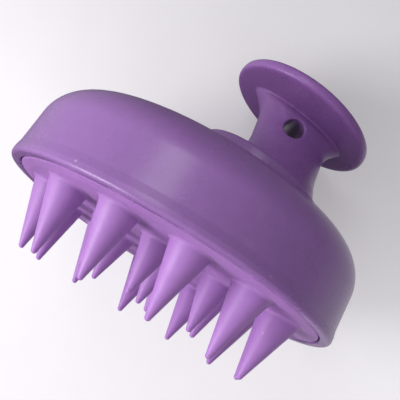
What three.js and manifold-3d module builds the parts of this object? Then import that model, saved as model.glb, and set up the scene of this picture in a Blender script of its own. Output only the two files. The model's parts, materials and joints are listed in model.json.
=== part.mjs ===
// Scalp massager brush: a domed plastic casing with an off-centre finger handle on top
// and a silicone pad of cone bristles underneath.
// Millimetres, +Z up. The brush stands on its outer bristle tips at z = 0, and the casing's axis is Z.
// The handle stands off the axis towards +X, and its disc leans the same way.

import * as THREE from 'three';
import { mergeVertices } from 'three/addons/utils/BufferGeometryUtils.js';
import Module from 'manifold-3d';

const wasm = await Module();
wasm.setup();

const deg = THREE.MathUtils.degToRad;

// ---- driving dimensions ----

const gap = 0.3; // clearance between neighbouring pieces
const wall = 2.3; // casing wall

// casing
const rimHeight = 16.4; // rim plane above the bristle tips
const rimRadius = 43;
const beadHeight = 2.2;
const beadStep = 0.35; // how far the rim bead stands out of the wall
const rimEdge = 0.4; // bevel of the rim's edges
const shoulderRadius = 41.76; // corner where the wall's line meets the crown's
const shoulderHeight = 19.87;
const shoulderFillet = 10;
const crownHeight = 26.75;
const crownCurve = 110; // radius of the crown's sphere
const crownEdge = 34.5; // radius where the crown meets the shoulder fillet

// handle
const handleLean = deg(8.5);
const discX = 11;
const discHeight = 48.4; // middle of the disc's edge above the rim plane
const discRadius = 19.35;
const discTop = 1; // top face above the middle of the edge
const discUnder = 1.9; // flat underside below the middle of the edge
const footRadius = 11.6;
const footDepth = 19.4; // foot below the middle of the disc's edge
// The stem is round at its foot and a broad, thin fan where it meets the disc.
const stemSections = [
  { depth: footDepth, halfWidth: footRadius, halfThickness: footRadius },
  { depth: 18.6, halfWidth: footRadius, halfThickness: 11.5 },
  { depth: 16.2, halfWidth: 10.8, halfThickness: 10.5 },
  { depth: 11.4, halfWidth: 10, halfThickness: 9.1 },
  { depth: 8, halfWidth: 10, halfThickness: 7.7 },
  { depth: 6, halfWidth: 10.4, halfThickness: 6.9 },
  { depth: 4.4, halfWidth: 11.3, halfThickness: 6.4 },
  { depth: 3, halfWidth: 12.6, halfThickness: 6.1 },
  { depth: discUnder, halfWidth: 13.9, halfThickness: 6 },
  { depth: 0.6, halfWidth: 14.2, halfThickness: 6 },
];
const footOffset = 5.47; // how far the foot stands off the disc's centre
const hangHoleRadius = 2.6;
const hangHoleDepth = 6.8; // hole centre below the middle of the disc's edge
const hangHoleX = 0.55; // hole centre off the disc's centre
const handlePilotTop = hangHoleDepth + hangHoleRadius + 1.1; // blind end of the screw's pilot hole

// seat on the crown under the handle
const seatRadius = 18;
const seatOffset = 2;
const seatDepth = footDepth + gap;
const seatReach = 12; // down into the crown
const seatEdge = 0.8;

// pad and backing plate, heights from the rim plane
const padRadius = 40.1;
const padFlangeLow = 0.1;
const padFlangeTop = 1.8;
const bedRadius = 37.3;
const bedDrop = 0.4; // bed's face below the rim plane
const skirtOuter = 38.3;
const skirtInner = 35.2;
const skirtTop = 5;
const rebateRadius = padRadius + gap;
const rebateDepth = padFlangeTop + gap;
const plateRadius = skirtInner - gap;
const plateLow = 2.2;
const plateTop = 5.2;
const plateEdge = 0.5;
const plateFloor = 0.5; // skin left under the plate's hollow
const hubRadius = 6;

// posts and screws
const postCount = 3;
const postCircle = 26;
const postRadius = 3.4;
const postInset = 2.5; // between a post and the plate's hollow
const screwFit = gap + 0.05; // a screw in its pilot hole, to the radius
const sinkDepth = 1.8; // countersink of a plate screw
const pilotReach = 10; // pilot hole above the plate
const plateScrew = { head: 2.7, headHeight: 1.4, shank: 1.25, length: 9.5 };
const handleScrew = { head: 3.4, headHeight: 2.2, shank: 1.75, length: 14.3 };
const washerRadius = 4.8;
const washerThickness = 0.8;
const bossRadius = 6;
const bossDepth = 25.2; // inner boss face below the middle of the disc's edge

// bristles
const outerBristle = {
  count: 12,
  circle: 31.3,
  phase: deg(6.2),
  lean: deg(6.2),
  base: 4.8,
  tip: 1.05,
  reach: 16.4,
};
const innerBristle = {
  count: 6,
  circle: 16.5,
  phase: deg(-10),
  lean: 0,
  base: 4.4,
  tip: 0.95,
  reach: 13.3,
};
const bristleSides = 12;
const rootRelief = Math.tan(deg(16)); // slope of the root, so that it can tilt without touching the bed

// ---- materials ----

const plastic = (color, roughness) => new THREE.MeshStandardMaterial({ color, roughness, metalness: 0 });
const glossShell = () => plastic('#8a5fa6', 0.2);
const glossHandle = () => plastic('#7f55a0', 0.22);
const silicone = () => plastic('#c39be0', 0.5);
const mattePlate = () => plastic('#d8d4de', 0.6);
const steel = () => new THREE.MeshStandardMaterial({ color: '#b9bcc0', roughness: 0.35, metalness: 1 });

// ---- shape helpers ----

// Turns corners [radius, height, fillet] into a smooth outline, with each fillet drawn as an arc.
function outline(corners, arcStep = deg(18)) {
  const points = [];
  corners.forEach(([radius, height, fillet = 0], index) => {
    const corner = new THREE.Vector2(radius, height);
    if (!fillet) {
      points.push(corner);
      return;
    }
    const before = new THREE.Vector2(...corners[index - 1]).sub(corner).normalize();
    const after = new THREE.Vector2(...corners[index + 1]).sub(corner).normalize();
    const half = Math.acos(before.dot(after)) / 2;
    const start = corner.clone().addScaledVector(before, fillet / Math.tan(half));
    const end = corner.clone().addScaledVector(after, fillet / Math.tan(half));
    const middle = before.clone().add(after).normalize();
    const centre = corner.clone().addScaledVector(middle, fillet / Math.sin(half));
    const from = Math.atan2(start.y - centre.y, start.x - centre.x);
    const to = Math.atan2(end.y - centre.y, end.x - centre.x);
    const sweep = Math.atan2(Math.sin(to - from), Math.cos(to - from));
    const steps = Math.max(2, Math.ceil(Math.abs(sweep) / arcStep));
    for (let step = 0; step <= steps; step += 1) {
      const angle = from + (sweep * step) / steps;
      points.push(new THREE.Vector2(Math.cos(angle), Math.sin(angle)).multiplyScalar(fillet).add(centre));
    }
  });
  return points;
}

// Turns an outline about Z.
function turned(points, segments) {
  return new THREE.LatheGeometry(points, segments).rotateX(Math.PI / 2);
}

// A plain round bar along Z from low to high.
function bar(radius, low, high, segments = 24) {
  return new THREE.CylinderGeometry(radius, radius, high - low, segments)
    .rotateX(Math.PI / 2)
    .translate(0, 0, (low + high) / 2);
}

function solid(geometry) {
  const bare = geometry.clone();
  bare.deleteAttribute('normal');
  bare.deleteAttribute('uv');
  const merged = mergeVertices(bare, 1e-4);
  return new wasm.Manifold(new wasm.Mesh({
    numProp: 3,
    vertProperties: new Float32Array(merged.attributes.position.array),
    triVerts: new Uint32Array(merged.index.array),
  }));
}

function geometryOf(manifold) {
  const mesh = manifold.getMesh();
  const geometry = new THREE.BufferGeometry();
  geometry.setAttribute('position', new THREE.BufferAttribute(mesh.vertProperties, 3));
  geometry.setIndex(new THREE.BufferAttribute(mesh.triVerts, 1));
  geometry.computeVertexNormals();
  return geometry;
}

function piece(name, geometry, material) {
  const mesh = new THREE.Mesh(geometry, material);
  mesh.name = name;
  return mesh;
}

// ---- places ----

const rimPlace = new THREE.Matrix4().makeTranslation(0, 0, rimHeight);
const handlePlace = new THREE.Matrix4()
  .makeRotationY(handleLean)
  .setPosition(discX, 0, rimHeight + discHeight);

const postAngles = Array.from({ length: postCount }, (_, i) => Math.PI / 2 + (i * 2 * Math.PI) / postCount);
const postCentres = postAngles.map((angle) => [postCircle * Math.cos(angle), postCircle * Math.sin(angle)]);

const crownAt = (radius, top = crownHeight, curve = crownCurve) => (
  top - curve + Math.sqrt(curve * curve - radius * radius)
);

function crownPoints(edge, top, curve, steps) {
  return Array.from({ length: steps + 1 }, (_, i) => {
    const radius = edge * (1 - i / steps);
    return new THREE.Vector2(radius, crownAt(radius, top, curve));
  });
}

// ---- casing ----

function domeOutside() {
  const side = outline([
    [0, 0],
    [rimRadius - rimEdge, 0],
    [rimRadius, rimEdge],
    [rimRadius, beadHeight - rimEdge],
    [rimRadius - beadStep, beadHeight],
    [shoulderRadius, shoulderHeight, shoulderFillet],
    [crownEdge, crownAt(crownEdge)],
  ], deg(10));
  side.pop();
  return turned([...side, ...crownPoints(side.at(-1).x - 2, crownHeight, crownCurve, 6)], 56);
}

function domeInside() {
  const innerTop = crownHeight - wall;
  const innerCurve = crownCurve - wall;
  const innerEdge = crownEdge - 1;
  const side = outline([
    [0, -1],
    [rebateRadius, -1],
    [rebateRadius, rebateDepth],
    [rimRadius - beadStep - wall - 1, rebateDepth],
    [shoulderRadius - wall, shoulderHeight - wall, shoulderFillet - wall],
    [innerEdge, crownAt(innerEdge, innerTop, innerCurve)],
  ], deg(12));
  side.pop();
  return turned([...side, ...crownPoints(side.at(-1).x - 2, innerTop, innerCurve, 5)], 56);
}

function casing() {
  const atHandle = (geometry) => geometry.applyMatrix4(handlePlace);
  const atRim = (geometry) => geometry.applyMatrix4(rimPlace);
  const footAxis = (geometry) => atHandle(geometry.translate(footOffset, 0, 0));

  const outside = solid(atRim(domeOutside()));
  const seatSide = outline([
    [0, -seatDepth - seatReach],
    [seatRadius, -seatDepth - seatReach],
    [seatRadius, -seatDepth, seatEdge],
    [0, -seatDepth],
  ], deg(30));
  const seat = solid(atHandle(turned(seatSide, 48).translate(seatOffset, 0, 0)));
  const inside = solid(atRim(domeInside()));
  let body = outside.add(seat).subtract(inside);

  const boss = solid(footAxis(bar(bossRadius, -bossDepth, -seatDepth - 1, 28)));
  body = body.add(boss);
  for (const [x, y] of postCentres) {
    const post = solid(atRim(bar(postRadius, plateTop + gap, crownHeight - wall, 20).translate(x, y, 0)));
    body = body.add(post.intersect(outside));
  }
  for (const [x, y] of postCentres) {
    const way = bar(plateScrew.shank + screwFit, 0, plateTop + pilotReach, 16);
    const pilot = solid(atRim(way.translate(x, y, 0)));
    body = body.subtract(pilot);
  }
  const screwBar = bar(handleScrew.shank + screwFit, -bossDepth - 1, -seatDepth + 1, 20);
  const screwWay = solid(footAxis(screwBar));
  return piece('shell', geometryOf(body.subtract(screwWay)), glossShell());
}

// ---- handle ----

// Squeezes each section of the turned stem to its thickness, and slides it sideways as it goes down,
// so that the foot stands off the disc's centre.
function shapeStem(geometry) {
  const position = geometry.attributes.position;
  for (let i = 0; i < position.count; i += 1) {
    const depth = -position.getZ(i);
    const section = stemSections.find((entry) => Math.abs(entry.depth - depth) < 0.01);
    const share = THREE.MathUtils.clamp((depth - discUnder) / (footDepth - discUnder), 0, 1);
    position.setX(i, position.getX(i) + footOffset * share);
    position.setY(i, position.getY(i) * (section.halfThickness / section.halfWidth));
  }
  return geometry;
}

function handleSolid() {
  const disc = outline([
    [0, -discUnder],
    [discRadius - 0.7, -discUnder, 0.6],
    [discRadius, -0.2, 1],
    [discRadius - 0.5, discTop, 0.7],
    [0, discTop],
  ], deg(22));
  const stemTop = stemSections.at(-1).depth;
  const stem = outline([
    [0, -footDepth],
    ...stemSections.map(({ depth, halfWidth }) => [halfWidth, -depth]),
    [0, -stemTop],
  ]);
  const body = solid(turned(disc, 48)).add(solid(shapeStem(turned(stem, 48))));
  const holeBar = bar(hangHoleRadius, -discRadius, discRadius, 24).rotateX(Math.PI / 2);
  const hole = solid(holeBar.translate(hangHoleX, 0, -hangHoleDepth));
  const pilotBar = bar(handleScrew.shank + screwFit, -footDepth - 1, -handlePilotTop, 20);
  const pilot = solid(pilotBar.translate(footOffset, 0, 0));
  return geometryOf(body.subtract(hole).subtract(pilot));
}

function screw({ head, headHeight, shank, length }) {
  // head below z = 0, shank above it
  const side = outline([
    [0, -headHeight],
    [head / 2, -headHeight],
    [head, -headHeight / 2],
    [head, 0],
    [shank, 0],
    [shank, length - shank],
    [0, length],
  ]);
  return turned(side, 18);
}

function washer() {
  const inner = handleScrew.shank + gap;
  const side = [
    [inner, 0],
    [washerRadius, 0],
    [washerRadius, washerThickness],
    [inner, washerThickness],
    [inner, 0],
  ];
  return turned(outline(side), 28);
}

function handleGroup() {
  const group = new THREE.Group();
  group.applyMatrix4(handlePlace);
  group.add(piece('handle', handleSolid(), glossHandle()));

  const washerTop = -bossDepth - gap;
  const ring = piece('handle_washer', washer(), steel());
  ring.position.set(footOffset, 0, washerTop - washerThickness);
  group.add(ring);

  const bolt = piece('handle_screw', screw(handleScrew), steel());
  bolt.position.set(footOffset, 0, washerTop - washerThickness - gap);
  group.add(bolt);
  return group;
}

// ---- backing plate and its screws ----

function backingPlate() {
  const disc = solid(turned(outline([
    [0, plateLow],
    [plateRadius, plateLow],
    [plateRadius, plateTop - plateEdge],
    [plateRadius - plateEdge, plateTop],
    [0, plateTop],
  ]), 56));
  const hollowLow = plateLow + 2 * plateFloor;
  const hollow = solid(bar(postCircle - postRadius - postInset, hollowLow, plateTop + 1, 48));
  const hub = solid(bar(hubRadius, plateLow + plateFloor, plateTop, 24));
  let body = disc.subtract(hollow).add(hub);
  for (const [x, y] of postCentres) {
    const way = bar(plateScrew.shank + gap, plateLow - 1, plateTop + 1, 16).translate(x, y, 0);
    const sink = bar(plateScrew.head + gap, plateLow - 1, plateLow + sinkDepth, 24).translate(x, y, 0);
    body = body.subtract(solid(way)).subtract(solid(sink));
  }
  return piece('backing_plate', geometryOf(body), mattePlate());
}

function plateScrews() {
  return postCentres.map(([x, y], index) => {
    const bolt = piece(`plate_screw_${index + 1}`, screw(plateScrew), steel());
    bolt.position.set(x, y, plateLow + sinkDepth - gap);
    return bolt;
  });
}

// ---- silicone pad and bristles ----

function pad() {
  const side = outline([
    [0, -bedDrop],
    [bedRadius, -bedDrop],
    [padRadius, padFlangeLow],
    [padRadius, padFlangeTop],
    [skirtOuter, padFlangeTop],
    [skirtOuter, skirtTop],
    [skirtInner, skirtTop],
    [skirtInner, plateLow - gap],
    [0, plateLow - gap],
  ], deg(30));
  return piece('pad', turned(side, 60), silicone());
}

// A cone that points down from its root at z = 0, with a round tip.
function bristleShape({ base, tip, reach, lean }) {
  const length = (reach - bedDrop - gap) / Math.cos(lean);
  const rise = base * rootRelief;
  const side = [
    [0, 0],
    [base, -rise],
    [tip, -length + tip],
    [tip * Math.SQRT1_2, -length + tip * (1 - Math.SQRT1_2)],
    [0, -length],
  ].reverse();
  return turned(outline(side), bristleSides);
}

function bristleAt(name, kind, angle) {
  const bristle = piece(name, bristleShape(kind), silicone());
  const root = new THREE.Group();
  bristle.rotation.y = kind.lean;
  root.position.set(0, 0, -bedDrop - gap);
  root.rotation.z = angle;
  bristle.position.x = kind.circle;
  root.add(bristle);
  return root;
}

function bristleRing(prefix, kind) {
  return Array.from({ length: kind.count }, (_, index) => {
    // the first bristle of a ring is the nearest to -Y, and the rest follow anticlockwise
    const angle = -Math.PI / 2 + kind.phase + (index * 2 * Math.PI) / kind.count;
    return bristleAt(`${prefix}_${String(index + 1).padStart(2, '0')}`, kind, angle);
  });
}

// ---- the whole brush ----

const brush = new THREE.Group();
brush.add(casing());
brush.add(handleGroup());

const underside = new THREE.Group();
underside.position.z = rimHeight;
underside.add(backingPlate(), ...plateScrews(), pad());
underside.add(...bristleRing('outer_bristle', outerBristle));
underside.add(...bristleRing('inner_bristle', innerBristle));
underside.add(bristleAt('centre_bristle', { ...innerBristle, circle: 0 }, 0));
brush.add(underside);

export default brush;
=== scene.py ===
"""Scalp massager brush: finished surfaces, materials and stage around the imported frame.

Metres, +Z up. The brush stands on its bristle tips at z = 0, and the casing's axis is Z.
"""

import json
import math

import bmesh
import bpy
from mathutils import Matrix, Vector


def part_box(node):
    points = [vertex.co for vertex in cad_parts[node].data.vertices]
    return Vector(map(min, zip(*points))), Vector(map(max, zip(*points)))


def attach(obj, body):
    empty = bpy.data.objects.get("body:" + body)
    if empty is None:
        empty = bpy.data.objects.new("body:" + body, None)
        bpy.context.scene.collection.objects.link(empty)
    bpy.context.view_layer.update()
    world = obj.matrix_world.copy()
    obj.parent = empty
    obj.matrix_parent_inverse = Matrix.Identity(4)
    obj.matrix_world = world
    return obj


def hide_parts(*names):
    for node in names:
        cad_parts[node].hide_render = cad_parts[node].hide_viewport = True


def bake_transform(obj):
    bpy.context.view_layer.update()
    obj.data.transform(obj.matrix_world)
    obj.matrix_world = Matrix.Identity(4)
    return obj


bl_info = {
    "name": "Scalp massager brush",
    "version": (1, 0, 0),
    "blender": (4, 5, 0),
    "location": "3D View > Sidebar > Massager",
    "description": "Makes the casing, finger handle, silicone pad and bristles of a scalp massager brush",
    "category": "Add Mesh",
}

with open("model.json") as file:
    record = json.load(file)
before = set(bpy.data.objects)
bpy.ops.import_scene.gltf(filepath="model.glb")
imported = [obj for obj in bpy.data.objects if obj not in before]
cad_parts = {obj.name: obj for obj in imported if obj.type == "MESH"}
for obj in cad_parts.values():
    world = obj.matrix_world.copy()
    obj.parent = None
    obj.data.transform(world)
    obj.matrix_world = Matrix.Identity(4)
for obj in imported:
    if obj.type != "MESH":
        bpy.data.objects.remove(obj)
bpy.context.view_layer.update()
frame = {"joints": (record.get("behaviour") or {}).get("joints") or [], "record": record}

MM = 0.001
MERGE = 1e-6
GAP = 0.3 * MM
PASS = MM  # how far a cutting tool reaches past the surface that it cuts
QUARTER = math.pi / 2
FINE_ARC = math.radians(5)
PLAIN_ARC = math.radians(9)

SHELL_LOW, SHELL_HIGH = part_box("shell")
PAD_LOW, PAD_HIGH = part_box("pad")
PLATE_LOW, PLATE_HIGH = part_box("backing_plate")
RIM = SHELL_LOW.z
RIM_RADIUS = SHELL_HIGH.x
BED = PAD_LOW.z
JOINTS = {joint["name"]: joint for joint in frame["joints"]}
DISC_MOUNT = next(mount for mount in frame["record"]["mounts"] if mount["name"] == "disc_top")


# ---- sizes and colours that a user would change ----


def length(name, description, default):
    """A length property in metres."""
    return bpy.props.FloatProperty(
        name=name, description=description, default=default, unit="LENGTH", subtype="DISTANCE", precision=5
    )


def angle(name, description, default):
    """An angle property, given in degrees and held in radians."""
    return bpy.props.FloatProperty(
        name=name, description=description, default=math.radians(default), unit="ROTATION", subtype="ANGLE"
    )


def colour(name, description, default):
    """A linear RGB colour property."""
    return bpy.props.FloatVectorProperty(
        name=name, description=description, default=default, subtype="COLOR", min=0, max=1
    )


def number(name, description, default):
    """A plain number."""
    return bpy.props.FloatProperty(name=name, description=description, default=default)


class MassagerCasing(bpy.types.PropertyGroup):
    wall: length("Wall", "Thickness of the casing's wall", 2.3 * MM)
    bead_height: length("Bead height", "Height of the rounded bead round the rim", 2.2 * MM)
    bead_step: length("Bead step", "How far the bead stands out of the wall", 0.35 * MM)
    rim_edge: length("Rim edge", "Radius of the rim's outer edge", 0.95 * MM)
    rebate_radius: length("Rebate radius", "Radius of the recess that takes the pad", 40.4 * MM)
    rebate_depth: length("Rebate depth", "Depth of the recess that takes the pad", 2.1 * MM)
    shoulder_radius: length("Shoulder radius", "Where the wall's line meets the crown's", 41.76 * MM)
    shoulder_height: length("Shoulder height", "Height of that corner above the rim", 19.87 * MM)
    shoulder_fillet: length("Shoulder fillet", "Radius of the shoulder", 10 * MM)
    crown_height: length("Crown height", "Top of the crown above the rim", 26.75 * MM)
    crown_curve: length("Crown curve", "Radius of the crown's sphere", 110 * MM)
    crown_edge: length("Crown edge", "Radius where the shoulder meets the crown", 34.5 * MM)
    seat_radius: length("Seat radius", "Low round seat under the handle", 18 * MM)
    seat_offset: length("Seat offset", "Seat's centre off the finger disc's centre", 2 * MM)
    seat_edge: length("Seat edge", "Radius of the seat's top edge", 0.9 * MM)
    seat_reach: length("Seat reach", "How far the seat goes down into the crown", 12 * MM)
    boss_radius: length("Boss radius", "Screw boss under the seat", 6 * MM)
    boss_depth: length("Boss depth", "Lower end of the boss below the seat's top", 5.5 * MM)
    post_radius: length("Post radius", "Posts that take the plate's screws", 3.4 * MM)
    colour: colour("Shell colour", "Moulded violet plastic", (0.255, 0.122, 0.345))


class MassagerHandle(bpy.types.PropertyGroup):
    disc_radius: length("Disc radius", "Finger disc", 19.35 * MM)
    disc_top: length("Disc top", "Top face above the middle of the disc's edge", 1 * MM)
    disc_under: length("Disc underside", "Flat underside below the middle of the disc's edge", 1.9 * MM)
    neck_radius: length("Neck radius", "Stem at its narrowest, across its broad side", 10 * MM)
    fan_width: length("Fan width", "Half of the stem's breadth where it meets the disc", 13.9 * MM)
    fan_thickness: length("Fan thickness", "Half of the stem's thickness where it meets the disc", 6 * MM)
    foot_radius: length("Foot radius", "Stem where it stands on the seat", 11.6 * MM)
    foot_depth: length("Foot depth", "Foot below the middle of the disc's edge", 19.4 * MM)
    foot_offset: length("Foot offset", "How far the foot stands off the disc's centre", 5.47 * MM)
    hole_radius: length("Hole radius", "Hanging hole through the stem", 2.6 * MM)
    hole_depth: length("Hole depth", "Hanging hole below the middle of the disc's edge", 6.8 * MM)
    hole_offset: length("Hole offset", "Hanging hole off the disc's centre", 0.55 * MM)
    under_edge: length("Under edge", "Rounding of the disc's lower edge", 0.9 * MM)
    top_edge: length("Top edge", "Rounding of the disc's upper edge", 1.3 * MM)
    waist_low: length("Waist low", "Lower end of the stem's waist above its foot", 6 * MM)
    waist_high: length("Waist high", "Upper end of the waist below the disc's middle", 6.5 * MM)
    flare_depth: length("Flare depth", "Start of the flare below the disc's middle", 4.3 * MM)
    flare_width: length("Flare width", "How far the stem has spread by then", 1.3 * MM)
    pilot_radius: length("Pilot radius", "Blind hole for the handle's screw", 2.1 * MM)
    pilot_skin: length("Pilot skin", "Left between the screw's hole and the hanging hole", 1.1 * MM)
    grain: length("Surface step", "Size of the faces that round off the handle's edges", 0.24 * MM)
    # Painted shade: the same violet plastic as the shell, made a little darker because the casing keeps
    # light off the handle
    colour: colour("Handle colour", "Moulded violet plastic", (0.225, 0.098, 0.305))


class MassagerPad(bpy.types.PropertyGroup):
    flange_radius: length("Flange radius", "Edge of the pad in the casing's recess", 40.1 * MM)
    flange_low: length("Flange face", "Outer face of the flange above the rim plane", 0.1 * MM)
    flange_top: length("Flange top", "Inner face of the flange above the rim plane", 1.8 * MM)
    flange_edge: length("Flange edge", "Radius of the flange's edge", 0.45 * MM)
    bed_radius: length("Bed radius", "Where the flat bed begins", 37.3 * MM)
    bed_edge: length("Bed edge", "Rounding of the raised bed's edge", 4 * MM)
    inner_edge: length("Inner edges", "Rounding of the flange's inner edges", 0.3 * MM)
    skirt_edge: length("Skirt edge", "Rounding of the gripping lip's edges", 0.5 * MM)
    skirt_root: length("Skirt root", "Rounding inside the gripping lip", 0.4 * MM)
    skirt_outer: length("Skirt outside", "Lip that grips the backing plate", 38.3 * MM)
    skirt_inner: length("Skirt inside", "Lip that grips the backing plate", 35.2 * MM)
    root_fillet: length("Root fillet", "Fillet from a bristle to the bed", 0.9 * MM)
    root_sink: length("Root sink", "How deep a bristle's root stands in the bed", 0.5 * MM)
    outer_base: length("Outer base", "Radius of an outer bristle above its fillet", 4.45 * MM)
    outer_lean: angle("Outer lean", "Lean of the outer bristles towards the middle", 6.2)
    inner_base: length("Inner base", "Radius of an inner bristle above its fillet", 3.9 * MM)
    tip_radius: length("Tip radius", "Round tip of a bristle", 0.72 * MM)
    bend_length: length("Bend length", "How much of a bristle flexes at its root", 6 * MM)
    colour: colour("Silicone colour", "Soft lilac silicone", (0.365, 0.172, 0.475))


class MassagerFittings(bpy.types.PropertyGroup):
    post_circle: length("Post circle", "Circle of the posts and plate screws", 26 * MM)
    plate_edge: length("Plate edge", "Rounding of the backing plate", 0.5 * MM)
    hollow_radius: length("Hollow radius", "Hollow in the plate's inner face", 20.1 * MM)
    hub_radius: length("Hub radius", "Hub in the middle of the hollow", 6 * MM)
    plate_floor: length("Plate floor", "Thickness of the plate in its hollow", 1 * MM)
    sink_radius: length("Screw seat radius", "Seats of the screws' heads in the plate", 3 * MM)
    sink_depth: length("Screw seat depth", "Depth of the screw seats in the plate", 1.8 * MM)
    way_radius: length("Screw way", "Holes for the screws through the plate", 1.55 * MM)
    pilot_radius: length("Pilot radius", "Blind holes for the screws in the posts", 1.6 * MM)
    pilot_reach: length("Pilot reach", "Depth of those holes", 9.7 * MM)
    plate_colour: colour("Plate colour", "Unpainted backing plate", (0.560, 0.520, 0.600))
    steel_colour: colour("Steel colour", "Zinc plated screws", (0.520, 0.530, 0.550))


class MassagerStage(bpy.types.PropertyGroup):
    """The camera, the papers and the lights."""

    distance: length("Camera distance", "Camera in front of the casing's axis", 155 * MM)
    drop: length("Camera drop", "Camera below the rim plane", 19.7 * MM)
    aim_rise: length("Aim", "Point looked at, above the rim plane", 15.8 * MM)
    roll: angle("Camera roll", "Turn of the picture", 31.45)
    focal: number("Lens", "Focal length in millimetres", 58.6)
    disc_rise: length("Disc rise", "Disc's far edge above the rim, where the backdrop passes", 48.4 * MM)
    paper: colour("Paper colour", "Floor and backdrop", (0.50, 0.485, 0.50))
    fade_near: length("Fade near", "Where the backdrop starts to fade", 0.25)
    fade_far: length("Fade far", "Where the backdrop has faded out", 0.45)
    floor_glow: number("Floor glow", "Own light of the floor's paper", 0.8)
    # The backdrop's glow is painted light: brighter at its foot and dimmer at its head, in place of the
    # key light's fall-off across it
    glow_low: number("Backdrop painted light below", "Own light of the backdrop's paper at its foot", 0.72)
    glow_high: number("Backdrop painted light above", "Own light of the backdrop's paper at its head", 0.20)
    key_power: number("Key light", "Power in watts", 2.7)
    window_share: number("Window light", "Power as a share of the key light's", 0.22)


PROPERTY_GROUPS = {
    "massager_casing": MassagerCasing,
    "massager_handle": MassagerHandle,
    "massager_pad": MassagerPad,
    "massager_fittings": MassagerFittings,
    "massager_stage": MassagerStage,
}


# ---- outlines and turned shapes ----


def only(obj):
    """Selects one object alone and makes it active."""
    bpy.ops.object.select_all(action="DESELECT")
    obj.select_set(True)
    bpy.context.view_layer.objects.active = obj


def rounded(corners, arc_step=PLAIN_ARC):
    """The outline through corners (radius, height, fillet), with each fillet drawn as an arc."""
    points = []
    for index, (radius, height, *fillet) in enumerate(corners):
        corner = Vector((radius, height))
        if not fillet:
            points.append(corner)
            continue
        before = (Vector(corners[index - 1][:2]) - corner).normalized()
        after = (Vector(corners[index + 1][:2]) - corner).normalized()
        half = before.angle(after) / 2
        start = corner + before * (fillet[0] / math.tan(half))
        end = corner + after * (fillet[0] / math.tan(half))
        centre = corner + (before + after).normalized() * (fillet[0] / math.sin(half))
        sweep = (start - centre).angle_signed(end - centre)
        steps = max(2, math.ceil(abs(sweep) / arc_step))
        for step in range(steps + 1):
            spoke = (start - centre).copy()
            spoke.rotate(Matrix.Rotation(-sweep * step / steps, 2))
            points.append(centre + spoke)
    return points


def turned(name, outline, steps=96):
    """A solid of revolution about Z: a point is drawn out along the outline and spun."""
    bpy.ops.object.select_all(action="DESELECT")
    first = outline[0]
    bpy.ops.mesh.primitive_plane_add(size=MM, location=(first.x, 0, first.y))
    obj = bpy.context.object
    obj.name = name
    obj.data.name = name
    bpy.ops.object.transform_apply(location=True, rotation=True, scale=True)
    bpy.ops.object.mode_set(mode="EDIT")
    bpy.ops.mesh.select_mode(type="VERT")
    bpy.ops.mesh.select_all(action="SELECT")
    bpy.ops.mesh.merge(type="CENTER")
    for here, there in zip(outline, outline[1:]):
        step = there - here
        bpy.ops.mesh.extrude_region_move(TRANSFORM_OT_translate={"value": (step.x, 0, step.y)})
    bpy.ops.mesh.select_all(action="SELECT")
    bpy.ops.mesh.spin(steps=steps, angle=math.tau, center=(0, 0, 0), axis=(0, 0, 1))
    bpy.ops.mesh.select_all(action="SELECT")
    bpy.ops.mesh.remove_doubles(threshold=MERGE)
    bpy.ops.mesh.normals_make_consistent(inside=False)
    bpy.ops.object.mode_set(mode="OBJECT")
    return obj


def bar(name, radius, low, high, centre=(0, 0), sides=48):
    """A round bar along Z from low to high."""
    bpy.ops.object.select_all(action="DESELECT")
    bpy.ops.mesh.primitive_cylinder_add(
        vertices=sides, radius=radius, depth=high - low, location=(*centre, (low + high) / 2)
    )
    obj = bpy.context.object
    obj.name = name
    bpy.ops.object.transform_apply(location=True, rotation=True, scale=True)
    return obj


def combine(body, tool, operation):
    """Joins the tool to the body or cuts it away, and removes the tool."""
    only(body)
    modifier = body.modifiers.new(operation.title(), "BOOLEAN")
    modifier.operation = operation
    modifier.solver = "EXACT"
    modifier.object = tool
    bpy.ops.object.modifier_apply(modifier=modifier.name)
    bpy.data.objects.remove(tool)


def shape_rings(obj, offset_at, squeeze_at=None):
    """Slides each level ring of a turned shape along X, and squeezes it along Y, by its height."""
    only(obj)
    bpy.ops.object.mode_set(mode="EDIT")
    mesh = bmesh.from_edit_mesh(obj.data)
    heights = sorted({round(vert.co.z, 7) for vert in mesh.verts})
    for height in heights:
        mesh = bmesh.from_edit_mesh(obj.data)
        for vert in mesh.verts:
            vert.select_set(abs(vert.co.z - height) < MERGE)
        mesh.select_flush_mode()
        bmesh.update_edit_mesh(obj.data)
        if squeeze_at:
            bpy.ops.transform.resize(value=(1, squeeze_at(height), 1), center_override=(0, 0, height))
        bpy.ops.transform.translate(value=(offset_at(height), 0, 0))
    bpy.ops.object.mode_set(mode="OBJECT")


def place(obj, matrix):
    """Puts a piece in its place, with the place in its mesh."""
    only(obj)
    obj.matrix_world = matrix
    bpy.ops.object.transform_apply(location=True, rotation=True, scale=True)


def finish_surface(obj, limit=32):
    """Smooth shading that keeps the edges sharper than the limit, in degrees."""
    only(obj)
    bpy.ops.object.shade_smooth_by_angle(angle=math.radians(limit))


def copy_of(obj, name):
    """A copy with a mesh of its own."""
    only(obj)
    bpy.ops.object.duplicate(linked=False)
    twin = bpy.context.object
    twin.name = name
    twin.data.name = name
    return twin


def settle(piece, body, slot, material, *nodes):
    """Gives a finished piece its material and body, and hides the nodes that it stands for; the slot is
    not used.
    """
    piece.data.materials.clear()
    piece.data.materials.append(material)
    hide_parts(*nodes)
    if body:
        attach(piece, body)


# ---- shared places ----


def handle_matrix(handle):
    """From the handle's own frame, at the middle of the disc's edge, to the brush's frame."""
    axis = Vector(DISC_MOUNT["axis"])
    lean = math.atan2(axis.x, axis.z)
    middle = Vector(DISC_MOUNT["pos_m"]) - axis * handle.disc_top
    return Matrix.Translation(middle) @ Matrix.Rotation(lean, 4, "Y")


def post_centres(fittings):
    """Centres of the three posts, the first on +Y."""
    angles = [QUARTER + index * math.tau / 3 for index in range(3)]
    return [(fittings.post_circle * math.cos(a), fittings.post_circle * math.sin(a)) for a in angles]


# ---- node groups and materials ----


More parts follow.
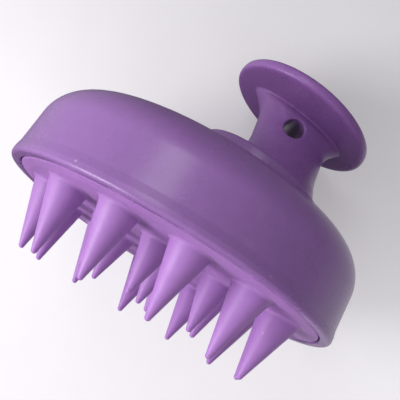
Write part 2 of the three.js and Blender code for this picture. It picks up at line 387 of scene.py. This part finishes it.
class Nodes:
    """Small helper that adds nodes to a tree and links them."""

    def __init__(self, tree):
        self.tree = tree

    def add(self, kind, **values):
        node = self.tree.nodes.new(kind)
        for name, value in values.items():
            setattr(node, name, value)
        return node

    def link(self, source, target):
        self.tree.links.new(source, target)

    def noise(self, vector, scale, detail=3, roughness=0.5):
        node = self.add("ShaderNodeTexNoise")
        node.inputs["Scale"].default_value = scale
        node.inputs["Detail"].default_value = detail
        node.inputs["Roughness"].default_value = roughness
        self.link(vector, node.inputs["Vector"])
        return node.outputs["Fac"]

    def math(self, operation, first, second):
        node = self.add("ShaderNodeMath", operation=operation)
        for socket, value in zip(node.inputs, (first, second)):
            if isinstance(value, (int, float)):
                socket.default_value = value
            else:
                self.link(value, socket)
        return node.outputs[0]

    def spread(self, value, low, high, out_low, out_high):
        """Maps low..high to out_low..out_high, held at its ends."""
        node = self.add("ShaderNodeMapRange")
        node.inputs["From Min"].default_value = low
        node.inputs["From Max"].default_value = high
        node.inputs["To Min"].default_value = out_low
        node.inputs["To Max"].default_value = out_high
        self.link(value, node.inputs["Value"])
        return node.outputs["Result"]


def new_group(name, inputs, outputs):
    """An empty shader node group with named sockets; returns the group, its helper and its two ends."""
    group = bpy.data.node_groups.new(name, "ShaderNodeTree")
    for label, kind, default in inputs:
        socket = group.interface.new_socket(name=label, in_out="INPUT", socket_type=kind)
        if default is not None:
            socket.default_value = default
    for label, kind in outputs:
        group.interface.new_socket(name=label, in_out="OUTPUT", socket_type=kind)
    nodes = Nodes(group)
    return group, nodes, nodes.add("NodeGroupInput"), nodes.add("NodeGroupOutput")


def moulded_skin_group():
    """Moulded plastic or silicone: a faint flow of the pigment, uneven gloss and a fine skin."""
    group, nodes, start, end = new_group(
        "Moulded skin",
        [
            ("Vector", "NodeSocketVector", None),
            ("Colour", "NodeSocketColor", (0.5, 0.5, 0.5, 1)),
            ("Flow", "NodeSocketFloat", 0.1),
            ("Gloss low", "NodeSocketFloat", 0.2),
            ("Gloss high", "NodeSocketFloat", 0.3),
            ("Skin scale", "NodeSocketFloat", 900.0),
        ],
        [("Colour", "NodeSocketColor"), ("Roughness", "NodeSocketFloat"), ("Height", "NodeSocketFloat")],
    )
    vector = start.outputs["Vector"]
    flow = nodes.spread(nodes.noise(vector, 26, 2), 0.3, 0.7, -0.5, 0.5)
    pigment = nodes.spread(nodes.noise(vector, 420, 3), 0.35, 0.65, -0.25, 0.25)
    change = nodes.math("MULTIPLY", nodes.math("ADD", flow, pigment), start.outputs["Flow"])
    tint = nodes.add("ShaderNodeVectorMath", operation="SCALE")
    nodes.link(start.outputs["Colour"], tint.inputs[0])
    nodes.link(nodes.math("ADD", change, 1.0), tint.inputs["Scale"])
    nodes.link(tint.outputs[0], end.inputs["Colour"])

    handling = nodes.noise(vector, 60, 5, 0.65)
    gloss = nodes.add("ShaderNodeMapRange")
    gloss.inputs["From Min"].default_value = 0.35
    gloss.inputs["From Max"].default_value = 0.7
    nodes.link(handling, gloss.inputs["Value"])
    nodes.link(start.outputs["Gloss low"], gloss.inputs["To Min"])
    nodes.link(start.outputs["Gloss high"], gloss.inputs["To Max"])
    nodes.link(gloss.outputs["Result"], end.inputs["Roughness"])

    skin = nodes.add("ShaderNodeTexNoise")
    skin.inputs["Detail"].default_value = 2
    nodes.link(vector, skin.inputs["Vector"])
    nodes.link(start.outputs["Skin scale"], skin.inputs["Scale"])
    nodes.link(skin.outputs["Fac"], end.inputs["Height"])
    return group


def dust_group():
    """Sparse fine specks, as handled plastic picks up."""
    group, nodes, start, end = new_group(
        "Dust specks",
        [("Vector", "NodeSocketVector", None), ("Amount", "NodeSocketFloat", 0.1)],
        [("Mask", "NodeSocketFloat")],
    )
    cells = nodes.add("ShaderNodeTexVoronoi", feature="F1")
    cells.inputs["Scale"].default_value = 260
    nodes.link(start.outputs["Vector"], cells.inputs["Vector"])
    speck = nodes.spread(cells.outputs["Distance"], 0.04, 0.1, 1, 0)
    patch = nodes.spread(nodes.noise(start.outputs["Vector"], 45, 3), 0.56, 0.66, 0, 1)
    mask = nodes.math("MULTIPLY", nodes.math("MULTIPLY", speck, patch), start.outputs["Amount"])
    nodes.link(mask, end.inputs["Mask"])
    return group


def shared_group(name):
    """The node group of that name, built the first time that it is asked for."""
    makers = {"Moulded skin": moulded_skin_group, "Dust specks": dust_group}
    return bpy.data.node_groups.get(name) or makers[name]()


def moulded(name, tint, gloss, flow, bump, skin_scale=900, dust=0.1, subsurface=0.0, ior=1.5):
    """A moulded plastic or silicone finish in one colour."""
    material = bpy.data.materials.new(name)
    material.use_nodes = True
    nodes = Nodes(material.node_tree)
    shader = material.node_tree.nodes["Principled BSDF"]
    place_of = nodes.add("ShaderNodeTexCoord").outputs["Object"]

    skin = nodes.add("ShaderNodeGroup", node_tree=shared_group("Moulded skin"))
    nodes.link(place_of, skin.inputs["Vector"])
    skin.inputs["Colour"].default_value = (*tint, 1)
    skin.inputs["Flow"].default_value = flow
    skin.inputs["Gloss low"].default_value = gloss[0]
    skin.inputs["Gloss high"].default_value = gloss[1]
    skin.inputs["Skin scale"].default_value = skin_scale

    specks = nodes.add("ShaderNodeGroup", node_tree=shared_group("Dust specks"))
    nodes.link(place_of, specks.inputs["Vector"])
    specks.inputs["Amount"].default_value = dust
    dusty = nodes.add("ShaderNodeMix", data_type="RGBA")
    dusty.inputs["B"].default_value = (0.82, 0.80, 0.84, 1)
    nodes.link(specks.outputs["Mask"], dusty.inputs["Factor"])
    nodes.link(skin.outputs["Colour"], dusty.inputs["A"])
    nodes.link(dusty.outputs["Result"], shader.inputs["Base Color"])
    nodes.link(skin.outputs["Roughness"], shader.inputs["Roughness"])

    relief = nodes.add("ShaderNodeBump")
    relief.inputs["Strength"].default_value = bump
    relief.inputs["Distance"].default_value = 0.05 * MM
    nodes.link(skin.outputs["Height"], relief.inputs["Height"])
    nodes.link(relief.outputs["Normal"], shader.inputs["Normal"])

    shader.inputs["IOR"].default_value = ior
    shader.inputs["Subsurface Weight"].default_value = subsurface
    shader.inputs["Subsurface Radius"].default_value = (1.0, 0.6, 1.0)
    shader.inputs["Subsurface Scale"].default_value = 2.5 * MM
    return material


def plated_steel(name, tint):
    """Zinc plated steel with turning marks round the screw's axis."""
    material = bpy.data.materials.new(name)
    material.use_nodes = True
    nodes = Nodes(material.node_tree)
    shader = material.node_tree.nodes["Principled BSDF"]
    place_of = nodes.add("ShaderNodeTexCoord").outputs["Object"]
    squeeze = nodes.add("ShaderNodeMapping")
    squeeze.inputs["Scale"].default_value = (1, 1, 14)
    nodes.link(place_of, squeeze.inputs["Vector"])
    marks = nodes.noise(squeeze.outputs["Vector"], 700, 4)
    ramp = nodes.add("ShaderNodeMix", data_type="RGBA")
    ramp.inputs["A"].default_value = (*[0.75 * part for part in tint], 1)
    ramp.inputs["B"].default_value = (*tint, 1)
    nodes.link(marks, ramp.inputs["Factor"])
    nodes.link(ramp.outputs["Result"], shader.inputs["Base Color"])
    nodes.link(nodes.spread(marks, 0.3, 0.7, 0.24, 0.42), shader.inputs["Roughness"])
    shader.inputs["Metallic"].default_value = 1
    return material


def finish_named(name):
    """One of the brush's finishes, built the first time that it is asked for."""
    found = bpy.data.materials.get(name)
    if found:
        return found
    scene = bpy.context.scene
    makers = {
        "Shell plastic": lambda: moulded(
            name, scene.massager_casing.colour, gloss=(0.24, 0.32), flow=0.10, bump=0.05,
            dust=0.25, subsurface=0.08, ior=1.42,
        ),
        # The handle's finish is the shell's plastic in a darker colour, as painted shade
        "Handle plastic with painted shade": lambda: moulded(
            name, scene.massager_handle.colour, gloss=(0.24, 0.33), flow=0.10, bump=0.05,
            dust=0.2, subsurface=0.08, ior=1.36,
        ),
        "Silicone": lambda: moulded(
            name, scene.massager_pad.colour, gloss=(0.40, 0.52), flow=0.08, bump=0.12,
            skin_scale=1500, dust=0.25, subsurface=0.30, ior=1.42,
        ),
        "Plate plastic": lambda: moulded(
            name, scene.massager_fittings.plate_colour, gloss=(0.5, 0.62), flow=0.10, bump=0.3,
            skin_scale=1200, dust=0.15,
        ),
        "Steel": lambda: plated_steel(name, scene.massager_fittings.steel_colour),
    }
    return makers[name]()


# ---- the pieces ----


def crown_at(casing, radius, inset=0.0):
    """Height of the crown above the rim at a radius, or of the surface that far inside it."""
    curve = casing.crown_curve - inset
    return casing.crown_height - casing.crown_curve + math.sqrt(curve**2 - radius**2)


def crown_points(casing, edge, inset, steps):
    """The crown's outline from its edge in to the axis."""
    radii = [edge * (1 - index / steps) for index in range(steps + 1)]
    return [Vector((radius, crown_at(casing, radius, inset))) for radius in radii]


def raised(points):
    """An outline given from the rim plane, moved up to the brush's frame."""
    return [Vector((point.x, point.y + RIM)) for point in points]


def casing_outside(casing):
    """The closed outer form of the casing."""
    wall_radius = RIM_RADIUS - casing.bead_step
    side = rounded([
        (0, 0),
        (RIM_RADIUS, 0, casing.rim_edge),
        (RIM_RADIUS, casing.bead_height - 0.4 * MM, 1.5 * MM),
        (wall_radius, casing.bead_height + 1.4 * MM, 2.5 * MM),
        (casing.shoulder_radius, casing.shoulder_height, casing.shoulder_fillet),
        (casing.crown_edge, crown_at(casing, casing.crown_edge)),
    ], FINE_ARC)
    side.pop()
    return turned("shell_body", raised([*side, *crown_points(casing, side[-1].x - MM, 0, 24)]), 144)


def casing_inside(casing):
    """The closed form of the casing's cavity, with the recess for the pad."""
    wall = casing.wall
    edge = casing.crown_edge - MM
    side = rounded([
        (0, -MM),
        (casing.rebate_radius + 0.3 * MM, -MM),
        (casing.rebate_radius + 0.3 * MM, 0),
        (casing.rebate_radius, 0.3 * MM),
        (casing.rebate_radius, casing.rebate_depth),
        (RIM_RADIUS - casing.bead_step - wall - MM, casing.rebate_depth),
        (casing.shoulder_radius - wall, casing.shoulder_height - wall, casing.shoulder_fillet - wall),
        (edge, crown_at(casing, edge, wall)),
    ])
    side.pop()
    return turned("cavity", raised([*side, *crown_points(casing, side[-1].x - MM, wall, 14)]), 144)


class MESH_OT_massager_shell(bpy.types.Operator):
    """Make the domed casing with its rim bead, handle seat, screw boss and posts"""

    bl_idname = "mesh.massager_shell"
    bl_label = "Shell"

    def execute(self, context):
        casing = context.scene.massager_casing
        handle = context.scene.massager_handle
        fittings = context.scene.massager_fittings
        at_handle = handle_matrix(handle)
        seat_top = -handle.foot_depth - GAP

        shell = casing_outside(casing)
        seat = turned("seat", rounded([
            (0, seat_top - casing.seat_reach),
            (casing.seat_radius, seat_top - casing.seat_reach),
            (casing.seat_radius, seat_top, casing.seat_edge),
            (0, seat_top),
        ]), 144)
        place(seat, at_handle @ Matrix.Translation((casing.seat_offset, 0, 0)))
        combine(shell, seat, "UNION")
        combine(shell, casing_inside(casing), "DIFFERENCE")

        at_foot = at_handle @ Matrix.Translation((handle.foot_offset, 0, 0))
        boss = bar("boss", casing.boss_radius, seat_top - casing.boss_depth, seat_top - PASS)
        place(boss, at_foot)
        combine(shell, boss, "UNION")
        post_low = PLATE_HIGH.z + GAP
        post_high = RIM + crown_at(casing, fittings.post_circle, casing.wall * 0.6)
        for centre in post_centres(fittings):
            combine(shell, bar("post", casing.post_radius, post_low, post_high, centre), "UNION")
        for centre in post_centres(fittings):
            pilot_high = post_low + fittings.pilot_reach
            pilot = bar("pilot", fittings.pilot_radius, post_low - PASS, pilot_high, centre, 32)
            combine(shell, pilot, "DIFFERENCE")
        way_low = seat_top - casing.boss_depth - 2.5 * PASS
        way = bar("screw_way", handle.pilot_radius, way_low, seat_top + PASS, sides=32)
        place(way, at_foot)
        combine(shell, way, "DIFFERENCE")

        shell.name = "shell_moulding"
        finish_surface(shell)
        settle(shell, "casing", "shell_plastic", finish_named("Shell plastic"), "shell")
        return {"FINISHED"}


class MESH_OT_massager_handle(bpy.types.Operator):
    """Make the finger disc and its stem in one piece, with the hanging hole"""

    bl_idname = "mesh.massager_handle"
    bl_label = "Handle"

    def execute(self, context):
        handle = context.scene.massager_handle
        foot = handle.foot_depth
        body = turned("disc", rounded([
            (0, -handle.disc_under),
            (handle.disc_radius, -handle.disc_under, handle.under_edge),
            (handle.disc_radius, handle.disc_top, handle.top_edge),
            (0, handle.disc_top),
        ]), 128)
        combine(body, self.stem(handle), "UNION")
        hole = bar("hole", handle.hole_radius, -handle.disc_radius, handle.disc_radius)
        turn = Matrix.Rotation(QUARTER, 4, "X")
        place(hole, Matrix.Translation((handle.hole_offset, 0, -handle.hole_depth)) @ turn)
        combine(body, hole, "DIFFERENCE")
        pilot_top = -handle.hole_depth - handle.hole_radius - handle.pilot_skin
        pilot = bar("pilot", handle.pilot_radius, -foot - PASS, pilot_top, (handle.foot_offset, 0), 32)
        combine(body, pilot, "DIFFERENCE")
        self.round_off(body, handle.grain)
        place(body, handle_matrix(handle))
        body.name = "finger_handle"
        only(body)
        bpy.ops.object.shade_smooth()
        settle(body, "casing", "handle_plastic", finish_named("Handle plastic with painted shade"), "handle")
        return {"FINISHED"}

    def stem(self, handle):
        """The stem: round at its foot, and a broad, thin fan where it meets the disc."""
        foot = handle.foot_depth
        neck = handle.neck_radius
        inside = -0.6 * MM
        stem = turned("stem", rounded([
            (0, -foot),
            (handle.foot_radius, -foot),
            (handle.foot_radius, -foot + 0.8 * MM, 0.3 * MM),
            (neck, -foot + handle.waist_low, 9 * MM),
            (neck, -handle.waist_high, 4 * MM),
            (neck + handle.flare_width, -handle.flare_depth, 5 * MM),
            (handle.fan_width, -handle.disc_under, 8 * MM),
            (handle.fan_width + 0.3 * MM, inside),
            (0, inside),
        ], FINE_ARC), 128)

        def below_disc(height):
            return min(1, max(0, (-height - handle.disc_under) / (foot - handle.disc_under)))

        def squeeze_at(height):
            taper = handle.fan_thickness / handle.fan_width
            return taper + (1 - taper) * math.sin(QUARTER * below_disc(height)) ** 0.85

        shape_rings(stem, lambda height: handle.foot_offset * below_disc(height), squeeze_at)
        return stem

    def round_off(self, body, grain):
        """Rounds every edge a little, as a polished mould does."""
        only(body)
        remesh = body.modifiers.new("Remesh", "REMESH")
        remesh.mode = "VOXEL"
        remesh.voxel_size = grain
        bpy.ops.object.modifier_apply(modifier=remesh.name)
        smooth = body.modifiers.new("Smooth", "SMOOTH")
        smooth.factor = 0.5
        smooth.iterations = 14
        bpy.ops.object.modifier_apply(modifier=smooth.name)


class MESH_OT_massager_pad(bpy.types.Operator):
    """Make the silicone pad with its flange, bed and gripping lip"""

    bl_idname = "mesh.massager_pad"
    bl_label = "Pad"

    def execute(self, context):
        pad = context.scene.massager_pad
        inner_face = PLATE_LOW.z - RIM - GAP
        body = turned("pad_moulding", raised(rounded([
            (0, BED - RIM),
            (pad.bed_radius, BED - RIM, pad.bed_edge),
            (pad.flange_radius, pad.flange_low, pad.flange_edge),
            (pad.flange_radius, pad.flange_top, pad.inner_edge),
            (pad.skirt_outer, pad.flange_top, pad.inner_edge),
            (pad.skirt_outer, PAD_HIGH.z - RIM, pad.skirt_edge),
            (pad.skirt_inner, PAD_HIGH.z - RIM, pad.skirt_edge),
            (pad.skirt_inner, inner_face, pad.skirt_root),
            (0, inner_face),
        ])), 160)
        finish_surface(body, 50)
        settle(body, "pad", "silicone", finish_named("Silicone"), "pad")
        return {"FINISHED"}


def bristle(name, pad, base, tip_height, lean):
    """A cone from the bed down to its round tip, on the axis, leaning towards -X as it goes down."""
    sink = pad.root_sink
    fillet = pad.root_fillet
    tip = pad.tip_radius
    depth = BED - tip_height
    slope = (base - tip) / (depth - fillet - tip)
    levels = 14
    points = [Vector((0, sink)), Vector((base + fillet, sink))]
    for step in range(7):
        turn = QUARTER * step / 6
        points.append(Vector((base + fillet * (1 - math.sin(turn)), -fillet * (1 - math.cos(turn)))))
    for level in range(1, levels):
        fall = fillet + (depth - fillet - tip) * level / levels
        points.append(Vector((base - slope * (fall - fillet), -fall)))
    for step in range(8):
        turn = QUARTER * step / 7
        points.append(Vector((tip * math.cos(turn), -depth + tip - tip * math.sin(turn))))
    shape = turned(name, points, 40)
    shape_rings(shape, lambda height: min(0, height) * math.tan(lean))
    only(shape)
    bpy.ops.object.shade_smooth()
    return shape


class MESH_OT_massager_bristles(bpy.types.Operator):
    """Make the two rings of cone bristles and the centre one"""

    bl_idname = "mesh.massager_bristles"
    bl_label = "Bristles"

    def execute(self, context):
        pad = context.scene.massager_pad
        outer_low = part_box("outer_bristle_01")[0].z
        inner_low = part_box("inner_bristle_01")[0].z
        kinds = {
            "outer": bristle("outer_cone", pad, pad.outer_base, outer_low, pad.outer_lean),
            "inner": bristle("inner_cone", pad, pad.inner_base, inner_low, 0),
        }
        for name, joint in JOINTS.items():
            if "_bend" not in name:
                continue
            node = joint["child"]
            pattern = kinds["outer" if node.startswith("outer") else "inner"]
            self.stand(pattern, pad, node, Vector(joint["pos_m"]))
        for pattern in kinds.values():
            bpy.data.objects.remove(pattern)
        return {"FINISHED"}

    def stand(self, pattern, pad, node, root):
        """Copies a pattern to its place on the bed, and hides the bristle that it stands for."""
        cone = copy_of(pattern, node + "_cone")
        turn = Matrix.Rotation(math.atan2(root.y, root.x), 4, "Z")
        foot = Vector((root.x, root.y, BED))
        place(cone, Matrix.Translation(foot) @ turn)
        settle(cone, None, "silicone", finish_named("Silicone"), node)
        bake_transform(cone)


class MESH_OT_massager_plate(bpy.types.Operator):
    """Make the backing plate that the pad is stretched over"""

    bl_idname = "mesh.massager_plate"
    bl_label = "Backing plate"

    def execute(self, context):
        fittings = context.scene.massager_fittings
        edge = fittings.plate_edge
        plate = turned("plate_moulding", rounded([
            (0, PLATE_LOW.z),
            (PLATE_HIGH.x, PLATE_LOW.z, edge),
            (PLATE_HIGH.x, PLATE_HIGH.z, edge),
            (fittings.hollow_radius, PLATE_HIGH.z, edge),
            (fittings.hollow_radius, PLATE_LOW.z + fittings.plate_floor, edge),
            (fittings.hub_radius, PLATE_LOW.z + fittings.plate_floor, edge),
            (fittings.hub_radius, PLATE_HIGH.z, edge),
            (0, PLATE_HIGH.z),
        ]), 128)
        for centre in post_centres(fittings):
            seat_high = PLATE_LOW.z + fittings.sink_depth
            seat = bar("seat", fittings.sink_radius, PLATE_LOW.z - PASS, seat_high, centre)
            combine(plate, seat, "DIFFERENCE")
            way = bar("way", fittings.way_radius, PLATE_LOW.z - PASS, PLATE_HIGH.z + PASS, centre, 32)
            combine(plate, way, "DIFFERENCE")
        finish_surface(plate)
        settle(plate, "casing", "plate_plastic", finish_named("Plate plastic"), "backing_plate")
        return {"FINISHED"}


PLATE_SCREW = {"head": 2.7 * MM, "head_height": 1.4 * MM, "shank": 1.25 * MM, "reach": 9.5 * MM}
HANDLE_SCREW = {"head": 3.4 * MM, "head_height": 2.2 * MM, "shank": 1.75 * MM, "reach": 14.3 * MM}
WASHER_TOP = -25.5 * MM  # below the disc's middle, along the handle
WASHER_LOW = WASHER_TOP - 0.8 * MM
WASHER_BORE, WASHER_RADIUS, WASHER_EDGE = 2.05 * MM, 4.8 * MM, 0.15 * MM


def cross_screw(name, head, head_height, shank, reach):
    """A pan head screw, head below z = 0, with a cross recess in its head."""
    thread = []
    pitch = shank * 0.7
    turns = int((reach - 2 * shank) / pitch)
    for index in range(turns):
        low = shank + index * pitch
        thread += [(shank * 0.82, low), (shank, low + pitch / 2)]
    screw = turned(name, rounded([
        (0, -head_height),
        (head * 0.75, -head_height, head_height * 0.5),
        (head, -head_height * 0.35, head_height * 0.3),
        (head, 0),
        (shank, 0),
        *thread,
        (shank * 0.5, reach - shank * 0.6),
        (0, reach),
    ]), 40)
    for turn in (0, QUARTER):
        bpy.ops.object.select_all(action="DESELECT")
        bpy.ops.mesh.primitive_cube_add(size=1, rotation=(0, 0, turn), location=(0, 0, -head_height))
        slot = bpy.context.object
        slot.scale = (head * 1.1, head * 0.22, head_height)
        bpy.ops.object.transform_apply(location=True, rotation=True, scale=True)
        combine(screw, slot, "DIFFERENCE")
    return screw


class MESH_OT_massager_screws(bpy.types.Operator):
    """Make the plate's three screws, and the handle's screw and washer"""

    bl_idname = "mesh.massager_screws"
    bl_label = "Screws"

    def execute(self, context):
        fittings = context.scene.massager_fittings
        steel = finish_named("Steel")
        pattern = cross_screw("plate_screw", **PLATE_SCREW)
        for index, centre in enumerate(post_centres(fittings), start=1):
            node = f"plate_screw_{index}"
            head_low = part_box(node)[0].z
            screw = copy_of(pattern, node + "_steel")
            place(screw, Matrix.Translation((*centre, head_low + PLATE_SCREW["head_height"])))
            finish_surface(screw)
            settle(screw, "casing", "steel", steel, node)
        bpy.data.objects.remove(pattern)

        handle = context.scene.massager_handle
        at_foot = handle_matrix(handle) @ Matrix.Translation((handle.foot_offset, 0, 0))
        washer = turned("handle_washer_steel", rounded([
            (WASHER_BORE, WASHER_LOW),
            (WASHER_RADIUS, WASHER_LOW, WASHER_EDGE),
            (WASHER_RADIUS, WASHER_TOP, WASHER_EDGE),
            (WASHER_BORE, WASHER_TOP),
            (WASHER_BORE, WASHER_LOW),
        ]), 64)
        place(washer, at_foot)
        finish_surface(washer)
        settle(washer, "casing", "steel", steel, "handle_washer")
        screw = cross_screw("handle_screw_steel", **HANDLE_SCREW)
        place(screw, at_foot @ Matrix.Translation((0, 0, WASHER_LOW - GAP)))
        finish_surface(screw)
        settle(screw, "casing", "steel", steel, "handle_screw")
        return {"FINISHED"}


# ---- stage ----

KEY_PLACE, KEY_SIZE = (-0.42, -0.22, -0.28), 0.30
WINDOW_PLACE, WINDOW_SIZE, WINDOW_TINT = (-0.24, -0.52, 0.20), 0.20, (0.92, 0.96, 1.0)
GLOW_FROM, GLOW_TO = 35 * MM, 115 * MM  # heights between which a paper's glow changes; on the backdrop this glow is painted light, brighter at its foot and dimmer at its head


def paper_material(name, tint, glow_low, glow_high, fade=None):
    """Pale matte paper, clear from behind, and faded out towards its edge if it is a backdrop. It glows by
    its height: the floor evenly, the backdrop with painted light that is brighter at its foot and dimmer
    at its head.
    """
    material = bpy.data.materials.new(name)
    material.use_nodes = True
    nodes = Nodes(material.node_tree)
    shader = material.node_tree.nodes["Principled BSDF"]
    place_of = nodes.add("ShaderNodeTexCoord").outputs["Object"]
    fibre = nodes.spread(nodes.noise(place_of, 90, 4), 0.3, 0.7, 0.985, 1.0)
    tinted = nodes.add("ShaderNodeVectorMath", operation="SCALE")
    tinted.inputs[0].default_value = tint
    nodes.link(fibre, tinted.inputs["Scale"])
    nodes.link(tinted.outputs[0], shader.inputs["Base Color"])
    shader.inputs["Roughness"].default_value = 0.9
    shader.inputs["Specular IOR Level"].default_value = 0.1
    nodes.link(tinted.outputs[0], shader.inputs["Emission Color"])
    # Painted light: the paper's glow changes with its height, so the backdrop is brighter at its foot and
    # dimmer at its head
    rise = nodes.add("ShaderNodeSeparateXYZ")
    nodes.link(place_of, rise.inputs[0])
    glow = nodes.spread(rise.outputs["Z"], GLOW_FROM, GLOW_TO, glow_low, glow_high)
    nodes.link(glow, shader.inputs["Emission Strength"])

    back = nodes.add("ShaderNodeNewGeometry").outputs["Backfacing"]
    clear = back
    if fade:
        centre, near, far = fade
        gap = nodes.add("ShaderNodeVectorMath", operation="DISTANCE")
        nodes.link(place_of, gap.inputs[0])
        gap.inputs[1].default_value = centre
        clear = nodes.math("MAXIMUM", back, nodes.spread(gap.outputs["Value"], near, far, 0, 1))
    through = nodes.add("ShaderNodeBsdfTransparent")
    mix = nodes.add("ShaderNodeMixShader")
    nodes.link(clear, mix.inputs["Fac"])
    nodes.link(shader.outputs["BSDF"], mix.inputs[1])
    nodes.link(through.outputs["BSDF"], mix.inputs[2])
    nodes.link(mix.outputs["Shader"], material.node_tree.nodes["Material Output"].inputs["Surface"])
    return material


def sheet_of_paper(name, size, matrix, material):
    """A flat sheet that only catches light and shadow, and blocks neither."""
    bpy.ops.object.select_all(action="DESELECT")
    bpy.ops.mesh.primitive_plane_add(size=size)
    paper = bpy.context.object
    paper.name = name
    place(paper, matrix)
    paper.data.materials.append(material)
    paper.visible_shadow = False
    paper.visible_glossy = False
    paper.visible_diffuse = False
    return paper


def soft_light(name, position, target, size, power, tint=(1, 1, 1)):
    """A square soft light that faces a point."""
    bpy.ops.object.light_add(type="AREA", location=position)
    lamp = bpy.context.object
    lamp.name = name
    lamp.rotation_euler = (Vector(target) - Vector(position)).to_track_quat("-Z", "Y").to_euler()
    lamp.data.size = size
    lamp.data.energy = power
    lamp.data.color = tint
    return lamp


class SCENE_OT_massager_stage(bpy.types.Operator):
    """Set the pale floor, the backdrop, the soft lights and the camera"""

    bl_idname = "scene.massager_stage"
    bl_label = "Stage"

    def execute(self, context):
        stage = context.scene.massager_stage
        self.camera(stage)
        self.papers(stage, context.scene.massager_handle.disc_radius)
        self.lights(stage)
        self.surroundings(context.scene)
        context.scene.view_settings.view_transform = "Standard"
        return {"FINISHED"}

    def camera(self, stage):
        eye = Vector((0, -stage.distance, RIM - stage.drop))
        aim = Vector((0, 0, RIM + stage.aim_rise))
        facing = (aim - eye).to_track_quat("-Z", "Y").to_matrix()
        rolled = facing @ Matrix.Rotation(stage.roll, 3, "Z")
        bpy.ops.object.camera_add(location=eye, rotation=rolled.to_euler())
        camera = bpy.context.object
        camera.data.lens = stage.focal
        camera.data.sensor_width = 36
        camera.data.clip_start = 0.01
        bpy.context.scene.camera = camera

    def papers(self, stage, disc_radius):
        """The floor, and a backdrop that leans from the casing's rim to the disc's far edge."""
        floor = paper_material("Floor paper", stage.paper, stage.floor_glow, stage.floor_glow)
        sheet_of_paper("floor", 6, Matrix.Identity(4), floor)
        rim_back = Vector((0, RIM_RADIUS, RIM))
        disc_back = Vector((0, disc_radius, RIM + stage.disc_rise))
        rise = (disc_back - rim_back).normalized()
        facing = Matrix((Vector((1, 0, 0)), rise, Vector((1, 0, 0)).cross(rise))).transposed().to_4x4()
        centre = rim_back + rise * 30 * MM
        facing.translation = centre
        fade = (centre, stage.fade_near, stage.fade_far)
        # The backdrop's glow is painted light, brighter at its foot and dimmer at its head
        backdrop = paper_material("Backdrop paper", stage.paper, stage.glow_low, stage.glow_high, fade)
        sheet_of_paper("backdrop", 1.0, facing, backdrop)

    def lights(self, stage):
        middle = (0, 0, RIM + 20 * MM)
        soft_light("key", KEY_PLACE, middle, KEY_SIZE, stage.key_power)
        window_power = stage.key_power * stage.window_share
        soft_light("window", WINDOW_PLACE, middle, WINDOW_SIZE, window_power, WINDOW_TINT)

    def surroundings(self, scene):
        """A pale room, darker towards the side away from the key light."""
        world = bpy.data.worlds.new("Studio")
        scene.world = world
        world.use_nodes = True
        nodes = Nodes(world.node_tree)
        direction = nodes.add("ShaderNodeTexCoord").outputs["Generated"]

        def facing(axis, near, far, dark, bright):
            dot = nodes.add("ShaderNodeVectorMath", operation="DOT_PRODUCT")
            nodes.link(direction, dot.inputs[0])
            dot.inputs[1].default_value = Vector(axis).normalized()
            return nodes.spread(dot.outputs["Value"], near, far, dark, bright)

        bright_side = facing((-0.62, -0.12, -0.78), -0.5, 0.75, 0.20, 1.15)
        dim_floor = facing((0.1, 0.85, -0.5), 0.25, 0.8, 1.0, 0.15)
        pale_wall = facing((0.70, 0.70, 0.15), 0.6, 0.9, 0.1, 0.75)
        light = nodes.math("MAXIMUM", nodes.math("MULTIPLY", bright_side, dim_floor), pale_wall)
        tint = nodes.add("ShaderNodeVectorMath", operation="SCALE")
        tint.inputs[0].default_value = (0.93, 0.93, 0.96)
        nodes.link(light, tint.inputs["Scale"])
        background = world.node_tree.nodes["Background"]
        nodes.link(tint.outputs[0], background.inputs["Color"])
        background.inputs["Strength"].default_value = 0.9


# ---- panel and registration ----

OPERATORS = (
    SCENE_OT_massager_stage,
    MESH_OT_massager_shell,
    MESH_OT_massager_handle,
    MESH_OT_massager_pad,
    MESH_OT_massager_bristles,
    MESH_OT_massager_plate,
    MESH_OT_massager_screws,
)


class VIEW3D_PT_massager(bpy.types.Panel):
    """Buttons for the brush's pieces, and their sizes and colours"""

    bl_label = "Scalp massager brush"
    bl_space_type = "VIEW_3D"
    bl_region_type = "UI"
    bl_category = "Massager"

    def draw(self, context):
        for operator in OPERATORS:
            self.layout.operator(operator.bl_idname)
        for attribute in PROPERTY_GROUPS:
            group = getattr(context.scene, attribute)
            box = self.layout.box()
            for name in group.__annotations__:
                box.prop(group, name)


def register():
    for group in PROPERTY_GROUPS.values():
        bpy.utils.register_class(group)
    for attribute, group in PROPERTY_GROUPS.items():
        setattr(bpy.types.Scene, attribute, bpy.props.PointerProperty(type=group))
    for operator in OPERATORS:
        bpy.utils.register_class(operator)
    bpy.utils.register_class(VIEW3D_PT_massager)


def unregister():
    bpy.utils.unregister_class(VIEW3D_PT_massager)
    for operator in reversed(OPERATORS):
        bpy.utils.unregister_class(operator)
    for attribute, group in PROPERTY_GROUPS.items():
        delattr(bpy.types.Scene, attribute)
        bpy.utils.unregister_class(group)


def main():
    register()
    bpy.ops.scene.massager_stage()
    bpy.ops.mesh.massager_shell()
    bpy.ops.mesh.massager_handle()
    bpy.ops.mesh.massager_pad()
    bpy.ops.mesh.massager_bristles()
    bpy.ops.mesh.massager_plate()
    bpy.ops.mesh.massager_screws()


if __name__ == "__main__":
    main()
